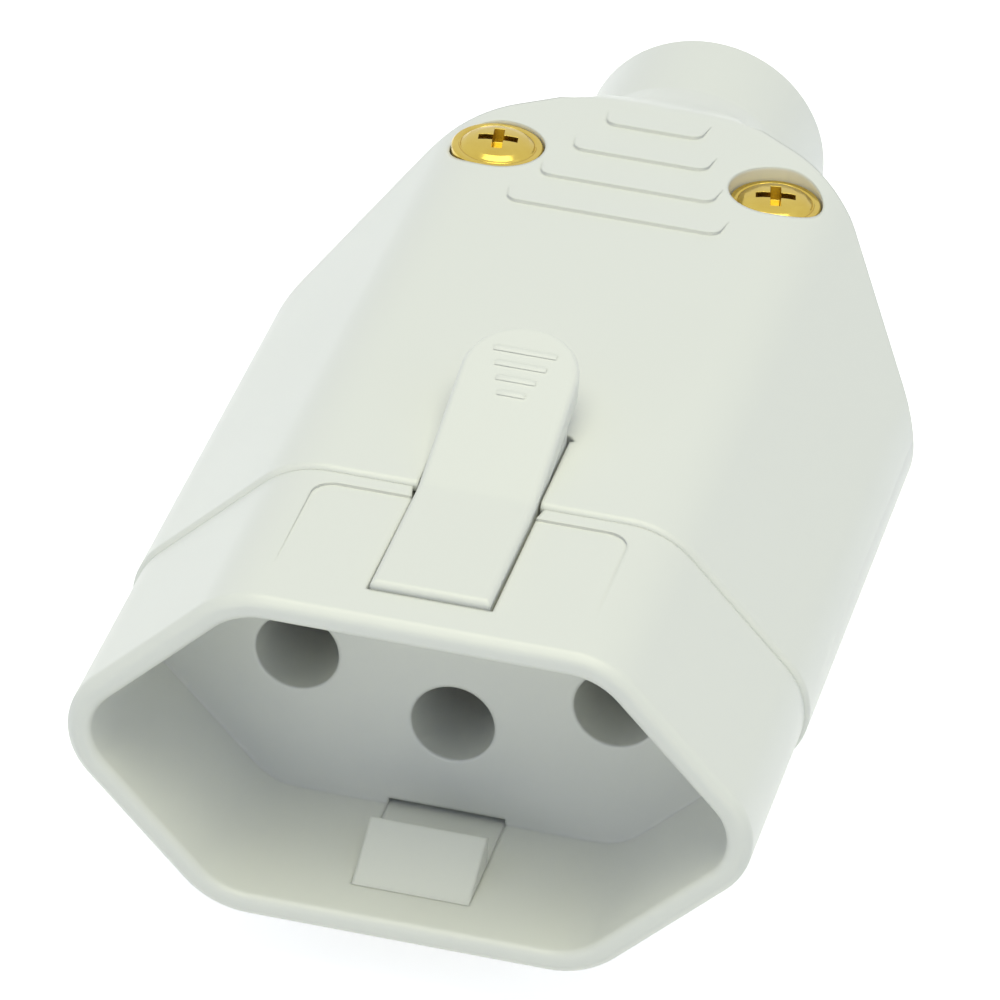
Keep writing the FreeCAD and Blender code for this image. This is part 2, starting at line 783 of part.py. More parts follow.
def make_clamp_insert(side):
    """Threaded brass bush in the end of a leg."""
    x = side * screw_x
    bottom = leg_boss_top - insert_length
    bush = rod_z(insert_radius, x, screw_y, bottom + loose_gap, leg_boss_top)
    return bush.cut(rod_z(screw_radius + thread_gap, x, screw_y, bottom - 1, leg_boss_top + 1))


# All pieces


def make_pieces():
    latch = make_latch()
    pin = make_latch_pin()
    spring = make_latch_spring()
    pieces = {
        "front_body": make_front_body(),
        "rear_housing": make_rear_housing(),
        "latch_top": latch,
        "latch_bottom": turned_over(latch),
        "latch_pin_top": pin,
        "latch_pin_bottom": turned_over(pin),
        "latch_spring_top": spring,
        "latch_spring_bottom": turned_over(spring),
        "contact_cover": make_contact_cover(),
        "cover_screw": make_cheese_screw(0, cover_screw_y, cover_top, cover_screw_radius, cover_screw_length,
                                         cover_screw_head_radius, cover_screw_head),
        "cord_clamp": make_cord_clamp(),
    }
    for name, (x, z) in pins.items():
        pieces["contact_" + name] = make_contact(x, z)
        pieces["terminal_" + name] = make_terminal(x, z)
        top = z - rail_top_drop + terminal_height
        pieces["terminal_screw_" + name] = make_cheese_screw(
            x, terminal_screw_y, top + loose_gap, terminal_screw_radius, terminal_screw_reach,
            terminal_screw_head_radius, terminal_screw_head)
    for name, side in (("left", -1), ("right", 1)):
        pieces["clamp_screw_" + name] = make_clamp_screw(side)
        pieces["clamp_insert_" + name] = make_clamp_insert(side)
    return pieces


# The finished part stands with its lowest point at Z = 0 and its box centred on the origin
def place_and_write(pieces):
    whole = Part.makeCompound(list(pieces.values())).optimalBoundingBox(False, False)
    shift = vec(-(whole.XMin + whole.XMax) / 2, -(whole.YMin + whole.YMax) / 2, -whole.ZMin)
    os.makedirs("parts", exist_ok=True)
    for name, shape in pieces.items():
        shape.translate(shift)
        print(name, "solids", len(shape.Solids), "valid", shape.isValid(), "volume", round(shape.Volume, 1))
        shape.exportStep("parts/" + name + ".step")
    print("shift", shift)


place_and_write(make_pieces())
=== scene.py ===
import math
import bpy
import bmesh
from mathutils import Matrix, Vector


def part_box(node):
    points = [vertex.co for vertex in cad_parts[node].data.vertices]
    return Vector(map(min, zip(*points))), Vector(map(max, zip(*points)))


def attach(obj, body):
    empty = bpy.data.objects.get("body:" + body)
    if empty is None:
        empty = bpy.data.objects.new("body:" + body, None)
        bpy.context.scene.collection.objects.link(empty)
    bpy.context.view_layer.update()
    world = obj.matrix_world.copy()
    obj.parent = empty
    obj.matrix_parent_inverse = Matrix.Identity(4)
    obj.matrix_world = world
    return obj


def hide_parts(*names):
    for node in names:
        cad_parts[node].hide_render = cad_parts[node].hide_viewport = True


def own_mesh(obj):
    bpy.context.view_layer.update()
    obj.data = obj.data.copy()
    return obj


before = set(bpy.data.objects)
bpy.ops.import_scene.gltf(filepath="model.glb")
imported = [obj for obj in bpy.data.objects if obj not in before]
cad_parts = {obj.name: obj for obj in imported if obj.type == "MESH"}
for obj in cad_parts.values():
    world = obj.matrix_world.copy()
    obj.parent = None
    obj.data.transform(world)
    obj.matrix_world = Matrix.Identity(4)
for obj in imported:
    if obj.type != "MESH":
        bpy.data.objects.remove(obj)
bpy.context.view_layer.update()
mm = 0.001

# The body's own mouth and axis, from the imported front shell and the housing
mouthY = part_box("front_body")[0][1]
housingLow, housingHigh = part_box("rear_housing")
axisHeight = (housingLow[2] + housingHigh[2]) / 2

# Camera, as the photograph was taken
shotCamera = {
    "lens": 298.56,
    "sensor": 36.0,
    "clip": (0.05, 20),
    "place": (0.08223, -0.38365, 0.25786),   # from the middle of the mouth
    "right": (0.96993, 0.23540, 0.06175),
    "up": (-0.17394, 0.49308, 0.85242),
}


def makeCamera():
    data = bpy.data.cameras.new("shotCamera")
    data.lens = shotCamera["lens"]
    data.sensor_width = shotCamera["sensor"]
    data.clip_start, data.clip_end = shotCamera["clip"]
    camera = bpy.data.objects.new("shotCamera", data)
    bpy.context.scene.collection.objects.link(camera)
    right = Vector(shotCamera["right"]).normalized()
    up = Vector(shotCamera["up"])
    up = (up - right * up.dot(right)).normalized()
    back = right.cross(up)
    turn = Matrix((right, up, back)).transposed().to_4x4()
    place = Vector((0, mouthY, axisHeight)) + Vector(shotCamera["place"])
    camera.matrix_world = Matrix.Translation(place) @ turn
    bpy.context.scene.camera = camera


makeCamera()
print("camera ready")


# sRGB #rrggbb to linear RGBA
def toLinear(hexColour):
    parts = [int(hexColour[i:i + 2], 16) / 255 for i in (1, 3, 5)]
    return [p / 12.92 if p <= 0.04045 else ((p + 0.055) / 1.055) ** 2.4 for p in parts] + [1]


# One node with its settings, values and incoming links
def addNode(tree, kind, settings=None, values=None, links=None):
    node = tree.nodes.new(kind)
    for name, value in (settings or {}).items():
        setattr(node, name, value)
    for socket, value in (values or {}).items():
        node.inputs[socket].default_value = value
    for socket, source in (links or {}).items():
        tree.links.new(source, node.inputs[socket])
    return node


def startMaterial(name):
    material = bpy.data.materials.new(name)
    material.use_nodes = True
    material.node_tree.nodes.clear()
    return material, material.node_tree


# Noise whose patches are about this many metres across
def addNoise(tree, place, size, detail, roughness=0.5):
    values = {"Scale": 1 / size, "Detail": detail, "Roughness": roughness}
    return addNode(tree, "ShaderNodeTexNoise", None, values, {"Vector": place}).outputs["Fac"]


# Two colours of a look, mixed by a share
def mixColours(tree, look, share):
    colours = {6: toLinear(look["colour"]), 7: toLinear(look["colourFar"])}
    return addNode(tree, "ShaderNodeMix", {"data_type": "RGBA"}, colours, {0: share}).outputs[2]


# A look's roughness, from its least to its most by a share
def spreadRoughness(tree, look, share):
    least, most = look["roughness"]
    spread = addNode(tree, "ShaderNodeMapRange", None, {"To Min": least, "To Max": most}, {"Value": share})
    return spread.outputs["Result"]


# Injection moulded plastic: soft colour drift, polish that varies, fine mould grain
def makeMouldedPlastic(name, look):
    material, tree = startMaterial(name)
    place = addNode(tree, "ShaderNodeTexCoord").outputs["Object"]
    colour = mixColours(tree, look, addNoise(tree, place, look["driftSize"], 2.0))
    rough = spreadRoughness(tree, look, addNoise(tree, place, look["polishSize"], 2.0))
    grain = addNoise(tree, place, look["grainSize"], 1.0)
    soft = addNode(tree, "ShaderNodeBevel", {"samples": 8}, {"Radius": look["edgeSoftness"]})
    skin = addNode(tree, "ShaderNodeBump", None, {"Strength": 1.0, "Distance": look["grainDepth"]},
                   {"Height": grain, "Normal": soft.outputs["Normal"]})
    shader = addNode(tree, "ShaderNodeBsdfPrincipled", None, {"IOR": look["ior"]},
                     {"Base Color": colour, "Roughness": rough, "Normal": skin.outputs["Normal"]})
    addNode(tree, "ShaderNodeOutputMaterial", None, None, {"Surface": shader.outputs["BSDF"]})
    return material


# Metal with a worked surface: colour drift, tarnish in patches, fine tool lines
def makeWorkedMetal(name, look):
    material, tree = startMaterial(name)
    place = addNode(tree, "ShaderNodeTexCoord").outputs["Object"]
    colour = mixColours(tree, look, addNoise(tree, place, look["patchSize"], 3.0, 0.55))
    stretch = addNode(tree, "ShaderNodeMapping", None, {"Scale": look["lineStretch"]}, {"Vector": place})
    lines = addNoise(tree, stretch.outputs["Vector"], look["lineSize"], 2.0)
    rough = spreadRoughness(tree, look, lines)
    soft = addNode(tree, "ShaderNodeBevel", {"samples": 4}, {"Radius": look["edgeSoftness"]})
    bump = addNode(tree, "ShaderNodeBump", None, {"Strength": 1.0, "Distance": look["lineDepth"]},
                   {"Height": lines, "Normal": soft.outputs["Normal"]})
    shader = addNode(tree, "ShaderNodeBsdfPrincipled", None, {"Metallic": 1.0},
                     {"Base Color": colour, "Roughness": rough, "Normal": bump.outputs["Normal"]})
    addNode(tree, "ShaderNodeOutputMaterial", None, None, {"Surface": shader.outputs["BSDF"]})
    return material


# Glossy moulded ABS: warm white from a polished tool, so broad soft highlights on softly rounded edges.
# The tool's grain, about 0.05 mm, wouldn't show and is drawn at 0.5 mm
glossyAbs = makeMouldedPlastic("glossyMouldedAbs", {
    "colour": "#e9eae4", "colourFar": "#e7e8e1", "driftSize": 30 * mm,
    "roughness": (0.29, 0.36), "polishSize": 9 * mm,
    "grainSize": 0.5 * mm, "grainDepth": 0.0015 * mm, "edgeSoftness": 0.35 * mm, "ior": 1.53,
})
# Nylon of the inner pieces: greyer, from a sparked tool, so nearly matt; its grit is drawn at 0.3 mm,
# coarser than the real 0.1 mm
mattNylon = makeMouldedPlastic("mattMouldedNylon", {
    "colour": "#d9d8ce", "colourFar": "#cfcdc2", "driftSize": 12 * mm,
    "roughness": (0.42, 0.58), "polishSize": 3 * mm,
    "grainSize": 0.3 * mm, "grainDepth": 0.006 * mm, "edgeSoftness": 0.12 * mm, "ior": 1.53,
})
# Bright turned brass of the clamp screws: golden, nearly a mirror, with lathe lines drawn at 0.3 mm,
# since the real ones, about 0.05 mm, wouldn't show
brightBrass = makeWorkedMetal("brightTurnedBrass", {
    "colour": "#d9c366", "colourFar": "#c5a84b", "patchSize": 1.6 * mm,
    "lineStretch": (1, 1, 1), "lineSize": 0.3 * mm, "lineDepth": 0.003 * mm,
    "roughness": (0.12, 0.26), "edgeSoftness": 0.06 * mm,
})
# Rolled brass strip of the contacts: paler, lightly tarnished, with lines along its length that are
# drawn coarser than the real 0.05 mm
rolledBrass = makeWorkedMetal("rolledBrassStrip", {
    "colour": "#c9a85c", "colourFar": "#a98643", "patchSize": 4 * mm,
    "lineStretch": (1, 0.08, 1), "lineSize": 0.2 * mm, "lineDepth": 0.004 * mm,
    "roughness": (0.22, 0.42), "edgeSoftness": 0.1 * mm,
})
# Zinc plated steel of the pins and small screws: blue grey, slightly cloudy, its speckle drawn coarse
zincSteel = makeWorkedMetal("zincPlatedSteel", {
    "colour": "#b9bbbf", "colourFar": "#a3a6ab", "patchSize": 2 * mm,
    "lineStretch": (1, 1, 1), "lineSize": 0.3 * mm, "lineDepth": 0.003 * mm,
    "roughness": (0.29, 0.42), "edgeSoftness": 0.08 * mm,
})
# Drawn spring steel: darker and smoother than the plated screws, its draw lines drawn coarse
springSteel = makeWorkedMetal("drawnSpringSteel", {
    "colour": "#a9abad", "colourFar": "#8d8f92", "patchSize": 1 * mm,
    "lineStretch": (1, 1, 1), "lineSize": 0.15 * mm, "lineDepth": 0.002 * mm,
    "roughness": (0.29, 0.38), "edgeSoftness": 0.02 * mm,
})
print("materials ready")

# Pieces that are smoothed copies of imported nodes: body, material and material slot
dressedNodes = {
    "front_body": ("shell", glossyAbs, "white_plastic"),
    "rear_housing": ("shell", glossyAbs, "white_plastic"),
    "latch_top": ("upper_latch", glossyAbs, "white_plastic"),
    "latch_bottom": ("lower_latch", glossyAbs, "white_plastic"),
    "contact_cover": ("shell", mattNylon, "inner_plastic"),
    "cord_clamp": ("shell", mattNylon, "inner_plastic"),
    "contact_live": ("shell", rolledBrass, "brass"),
    "contact_neutral": ("shell", rolledBrass, "brass"),
    "contact_earth": ("shell", rolledBrass, "brass"),
    "terminal_live": ("shell", rolledBrass, "brass"),
    "terminal_neutral": ("shell", rolledBrass, "brass"),
    "terminal_earth": ("shell", rolledBrass, "brass"),
    "clamp_insert_left": ("shell", rolledBrass, "brass"),
    "clamp_insert_right": ("shell", rolledBrass, "brass"),
    "latch_pin_top": ("shell", zincSteel, "steel"),
    "latch_pin_bottom": ("shell", zincSteel, "steel"),
}
smoothing = {"mergeDistance": 0.002 * mm, "flatAngle": 0.3, "sharpAngle": 32.0, "normalWeight": 60}
snap = 0.02   # millimetres within which a corner counts as lying on a named plane
hair = 0.01 * mm   # slack at the ends of a zone


def pieceNameOf(nodeName):
    words = nodeName.split("_")
    return words[0] + "".join(word.capitalize() for word in words[1:])


# A corner's place in millimetres: across, behind the mouth and from the axis
def placeOf(vert):
    return vert.co.x / mm, (vert.co.y - mouthY) / mm, (vert.co.z - axisHeight) / mm


# The latch windows close in on the latch: half widths and front edges at the inner and outer face
windowFit = {
    "half": 3.9, "front": 2.8, "rear": 14.79, "floor": 8.9, "innerFace": 9.3, "outerFace": 10.8,
    "innerHalf": 3.51, "outerHalf": 3.68, "innerFront": 3.18, "outerFront": 3.05,
}


def closeWindows(shape):
    fit = windowFit
    for vert in shape.verts:
        x, y, z = placeOf(vert)
        if abs(z) <= fit["floor"] - snap or y >= fit["rear"]:
            continue
        part = min(1, max(0, (abs(z) - fit["innerFace"]) / (fit["outerFace"] - fit["innerFace"])))
        if abs(abs(x) - fit["half"]) < snap and y > fit["front"] - snap:
            half = fit["innerHalf"] + (fit["outerHalf"] - fit["innerHalf"]) * part
            vert.co.x = math.copysign(half * mm, x)
        if abs(y - fit["front"]) < snap and abs(x) < fit["half"] + snap:
            front = fit["innerFront"] + (fit["outerFront"] - fit["innerFront"]) * part
            vert.co.y = mouthY + front * mm


# The notch under each finger pad closes in the same way
notchFit = {"half": 3.9, "from": 14.6, "to": 22.85, "lowest": 9.6, "closedHalf": 3.62}


def closeNotches(shape):
    fit = notchFit
    for vert in shape.verts:
        x, y, z = placeOf(vert)
        if fit["from"] < y < fit["to"] and abs(z) > fit["lowest"] and abs(abs(x) - fit["half"]) < snap:
            vert.co.x = math.copysign(fit["closedHalf"] * mm, x)


# Ribs and grip ridges show as low soft steps: each one's height, and the share of it that stays
reliefFit = {
    "ribHeight": 0.38, "housingRibs": 0.55,
    "ridgeHeight": 0.14, "gripRidges": 0.55, "padSlope": 16.6, "padFrom": 20.0,
}


# Ribs of the housing lowered onto its flat faces
def lowerRibs(shape):
    flat = (housingHigh[2] - axisHeight) / mm - reliefFit["ribHeight"]
    for vert in shape.verts:
        z = placeOf(vert)[2]
        if abs(z) > flat + hair / mm:
            z = math.copysign(flat + (abs(z) - flat) * reliefFit["housingRibs"], z)
            vert.co.z = axisHeight + z * mm


# Grip ridges lowered onto the slope of the finger pad
def lowerRidges(shape):
    rise = math.radians(reliefFit["padSlope"])

    def climb(vert):
        x, y, z = placeOf(vert)
        return abs(z) * math.cos(rise) - y * math.sin(rise)

    near = [vert for vert in shape.verts if placeOf(vert)[1] > reliefFit["padFrom"]]
    face = max(climb(vert) for vert in near) - reliefFit["ridgeHeight"]
    for vert in near:
        over = climb(vert) - face
        if over > snap:
            drop = over * (1 - reliefFit["gripRidges"]) / math.cos(rise)
            vert.co.z -= math.copysign(drop * mm, vert.co.z - axisHeight)


# A thin skirt along each side of a finger pad, which hides the gap below it
padSkirt = {
    "outer": 3.49, "thickness": 0.7, "from": 17.2, "to": 21.95,
    "foot": 10.45, "headFrom": 10.9, "headTo": 12.4,
}


def addSkirts(shape, upward):
    size = padSkirt
    outline = [(size["from"], size["foot"]), (size["to"], size["foot"]), (size["to"], size["headTo"]),
               (size["from"], size["headFrom"])]
    for side in (-1, 1):
        rings = []
        for x in (side * size["outer"], side * (size["outer"] - size["thickness"])):
            corners = [(x * mm, mouthY + y * mm, axisHeight + upward * z * mm) for y, z in outline]
            rings.append([shape.verts.new(corner) for corner in corners])
        faces = [shape.faces.new(rings[0]), shape.faces.new(rings[1][::-1])]
        for i in range(4):
            k = (i + 1) % 4
            faces.append(shape.faces.new((rings[0][k], rings[0][i], rings[1][i], rings[1][k])))
        bmesh.ops.recalc_face_normals(shape, faces=faces)


# Where the tail runs into the neck, the moulding is one soft form: millimetres behind the mouth
neckBlend = {
    "from": 62.7, "to": 72.5, "fade": 4.5, "innerRadius": 7.0, "outerRadius": 7.85,
    "cutDistance": 0.0005, "edge": 0.6, "refinements": 5, "passes": 60, "pull": 0.5,
}


# The zone between tail and neck cut fine and then relaxed, with the round neck kept round
def softenNeck(shape):
    zone = neckBlend
    low = mouthY + zone["from"] * mm
    high = mouthY + zone["to"] * mm
    for cutY in (low, high):
        everything = shape.verts[:] + shape.edges[:] + shape.faces[:]
        bmesh.ops.bisect_plane(shape, geom=everything, dist=zone["cutDistance"] * mm,
                               plane_co=(0, cutY, 0), plane_no=(0, 1, 0))

    def isOuter(place):
        return math.hypot(place.x, place.z - axisHeight) > zone["innerRadius"] * mm

    def zoneFaces():
        found = []
        for face in shape.faces:
            middle = face.calc_center_median()
            if low < middle.y < high and isOuter(middle):
                found.append(face)
        return found

    bmesh.ops.triangulate(shape, faces=zoneFaces())
    for _ in range(zone["refinements"]):
        edges = {edge for face in zoneFaces() for edge in face.edges}
        long = [edge for edge in edges if edge.calc_length() > zone["edge"] * mm]
        if not long:
            break
        bmesh.ops.subdivide_edges(shape, edges=long, cuts=1)
        bmesh.ops.triangulate(shape, faces=zoneFaces())
    verts = {vert for face in zoneFaces() for vert in face.verts if low + hair < vert.co.y < high - hair}
    for turn in range(zone["passes"]):
        start = low + zone["fade"] * mm * turn / zone["passes"]   # fades in behind the tail's crisp edges
        moved = [vert for vert in verts if vert.co.y > start]
        bmesh.ops.smooth_vert(shape, verts=moved, factor=zone["pull"],
                              use_axis_x=True, use_axis_y=True, use_axis_z=True)
        for vert in moved:
            reach = math.hypot(vert.co.x, vert.co.z - axisHeight)
            if 0 < reach < zone["outerRadius"] * mm:
                grow = zone["outerRadius"] * mm / reach
                vert.co.x *= grow
                vert.co.z = axisHeight + (vert.co.z - axisHeight) * grow


# Edges of the moulding tool that are rounded: from and to in millimetres behind the mouth, least
# edge angle, and how far from the axis the rule starts
latchRounding = {"from": 3.0, "to": 28.5, "angle": 30, "width": 0.09 * mm, "segments": 2, "beyond": 9.75}
edgeRounding = {
    "front_body": [
        {"from": 0.0, "to": 0.55, "angle": 20, "width": 0.17 * mm, "segments": 3},      # the lip
        {"from": 14.2, "to": 14.85, "angle": 60, "width": 0.10 * mm, "segments": 2},    # the rim at the seam
    ],
    "rear_housing": [
        {"from": 14.75, "to": 15.1, "angle": 20, "width": 0.08 * mm, "segments": 2},    # the rim at the seam
        {"from": 79.0, "to": 79.8, "angle": 20, "width": 0.2 * mm, "segments": 3},      # the neck's end
    ],
    "latch_top": [latchRounding],
    "latch_bottom": [latchRounding],
}


def roundEdges(shape, rule):
    limit = math.radians(rule["angle"])
    low = mouthY + rule["from"] * mm - hair
    high = mouthY + rule["to"] * mm
    beyond = rule.get("beyond", 0) * mm
    picked = []
    for edge in shape.edges:
        inZone = all(low < vert.co.y < high and abs(vert.co.z - axisHeight) >= beyond for vert in edge.verts)
        if inZone and len(edge.link_faces) == 2 and edge.is_convex and edge.calc_face_angle(0) > limit:
            picked.append(edge)
    bmesh.ops.bevel(shape, geom=picked, offset=rule["width"], offset_type="OFFSET", segments=rule["segments"],
                    profile=0.5, affect="EDGES", clamp_overlap=True, loop_slide=True)


# The fine cutting leaves a few slivers twice on the same corners: both go
def dropDoubledFaces(shape):
    shape.verts.index_update()
    sameCorners = {}
    for face in shape.faces:
        corners = frozenset(vert.index for vert in face.verts)
        sameCorners.setdefault(corners, []).append(face)
    doubled = [face for faces in sameCorners.values() if len(faces) > 1 for face in faces]
    bmesh.ops.delete(shape, geom=doubled, context="FACES")


# Smooth shading, broken only at the sharp edges
def shadeSoftly(shape):
    limit = math.radians(smoothing["sharpAngle"])
    for face in shape.faces:
        face.smooth = True
    for edge in shape.edges:
        edge.smooth = len(edge.link_faces) == 2 and edge.calc_face_angle(math.pi) < limit


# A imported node's triangles joined, its flats made whole, its edges rounded and its shading set
def smoothedCopy(nodeName):
    isLatch = nodeName in ("latch_top", "latch_bottom")
    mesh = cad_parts[nodeName].data.copy()
    shape = bmesh.new()
    shape.from_mesh(mesh)
    bmesh.ops.remove_doubles(shape, verts=shape.verts, dist=smoothing["mergeDistance"])
    bmesh.ops.dissolve_limit(shape, angle_limit=math.radians(smoothing["flatAngle"]), verts=shape.verts,
                             edges=shape.edges)
    if nodeName == "front_body":
        closeWindows(shape)
    if nodeName == "rear_housing":
        closeNotches(shape)
        lowerRibs(shape)
        softenNeck(shape)
    if isLatch:
        lowerRidges(shape)
    for rule in edgeRounding.get(nodeName, []):
        roundEdges(shape, rule)
    if isLatch:
        addSkirts(shape, 1 if nodeName == "latch_top" else -1)
    dropDoubledFaces(shape)
    shadeSoftly(shape)
    shape.to_mesh(mesh)
    shape.free()
    piece = bpy.data.objects.new(pieceNameOf(nodeName), mesh)
    bpy.context.scene.collection.objects.link(piece)
    modifier = piece.modifiers.new("faceWeights", "WEIGHTED_NORMAL")
    modifier.keep_sharp = True
    modifier.weight = smoothing["normalWeight"]
    return asPlainMesh(piece)


# The evaluated result as a plain mesh, with no modifier left
def asPlainMesh(piece):
    bpy.context.view_layer.update()
    result = piece.evaluated_get(bpy.context.evaluated_depsgraph_get())
    mesh = bpy.data.meshes.new_from_object(result)
    mesh.name = piece.name
    piece.modifiers.clear()
    piece.data = mesh
    return piece


def dressNodes():
    for nodeName, (body, material, slotName) in dressedNodes.items():
        piece = smoothedCopy(nodeName)
        piece.data.materials.clear()
        piece.data.materials.append(material)
        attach(piece, body)
        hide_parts(nodeName)


dressNodes()
print("shells, latches and contacts dressed")


# Named inputs of a Geometry Nodes tree, with the identifier of each
def startTree(name, inputs):
    tree = bpy.data.node_groups.new(name, "GeometryNodeTree")
    tree.is_modifier = True
    identifiers = {}
    for label, kind in inputs.items():
        socket = tree.interface.new_socket(name=label, in_out="INPUT", socket_type=kind)
        identifiers[label] = socket.identifier
    tree.interface.new_socket(name="Geometry", in_out="OUTPUT", socket_type="NodeSocketGeometry")
    return tree, identifiers, addNode(tree, "NodeGroupInput").outputs


def finishTree(tree, geometry, material):
    real = addNode(tree, "GeometryNodeRealizeInstances", None, None, {"Geometry": geometry})
    painted = addNode(tree, "GeometryNodeSetMaterial", None, None,
                      {"Geometry": real.outputs[0], "Material": material})
    addNode(tree, "NodeGroupOutput", None, None, {"Geometry": painted.outputs[0]})


def addMath(tree, operation, first, second):
    node = addNode(tree, "ShaderNodeMath", {"operation": operation})
    for socket, value in enumerate((first, second)):
        if isinstance(value, (int, float)):
            node.inputs[socket].default_value = value
        else:
            tree.links.new(value, node.inputs[socket])
    return node.outputs[0]


# How finely the turned pieces are cut, and how far a recess narrows towards its floor
turning = {
    "spindle": 0.01 * mm, "mergeDistance": 0.004 * mm, "headSides": 72, "edgeSteps": 3,
    "shankSides": 40, "threadSteps": 24, "threadSides": 3, "recessTaper": 0.72,
}


# Outline of a turned head, as shares of its radius and height, spun about its axis
def spinOutline(tree, outline, radius, height, rounding):
    line = addNode(tree, "GeometryNodeMeshLine", None, {"Count": len(outline)})
    pick = addNode(tree, "GeometryNodeIndexSwitch", {"data_type": "VECTOR"})
    while len(pick.index_switch_items) < len(outline):
        pick.index_switch_items.new()
    for i, (across, up) in enumerate(outline):
        pick.inputs[i + 1].default_value = (across, up, 0)
    tree.links.new(addNode(tree, "GeometryNodeInputIndex").outputs[0], pick.inputs[0])
    down = addMath(tree, "MULTIPLY", height, -1)
    size = addNode(tree, "ShaderNodeCombineXYZ", None, None, {"X": radius, "Y": down})
    scaled = addNode(tree, "ShaderNodeVectorMath", {"operation": "MULTIPLY"}, None,
                     {0: pick.outputs[0], 1: size.outputs[0]})
    spindle = turning["spindle"]
    shifted = addNode(tree, "ShaderNodeVectorMath", {"operation": "SUBTRACT"}, {1: (spindle, 0, 0)},
                      {0: scaled.outputs[0]})
    placed = addNode(tree, "GeometryNodeSetPosition", None, None,
                     {"Geometry": line.outputs[0], "Position": shifted.outputs[0]})
    curve = addNode(tree, "GeometryNodeMeshToCurve", None, None, {"Mesh": placed.outputs[0]})
    soft = addNode(tree, "GeometryNodeFilletCurve", {"mode": "POLY"},
                   {"Count": turning["edgeSteps"], "Limit Radius": True},
                   {"Curve": curve.outputs[0], "Radius": rounding})
    circle = addNode(tree, "GeometryNodeCurvePrimitiveCircle", None,
                     {"Resolution": turning["headSides"], "Radius": spindle})
    upright = addNode(tree, "GeometryNodeSetCurveNormal", None, None, {"Curve": circle.outputs[0]})
    spun = addNode(tree, "GeometryNodeCurveToMesh", None, None,
                   {"Curve": upright.outputs[0], "Profile Curve": soft.outputs[0]})
    return addNode(tree, "GeometryNodeMergeByDistance", None, {"Distance": turning["mergeDistance"]},
                   {"Geometry": spun.outputs[0]}).outputs[0]


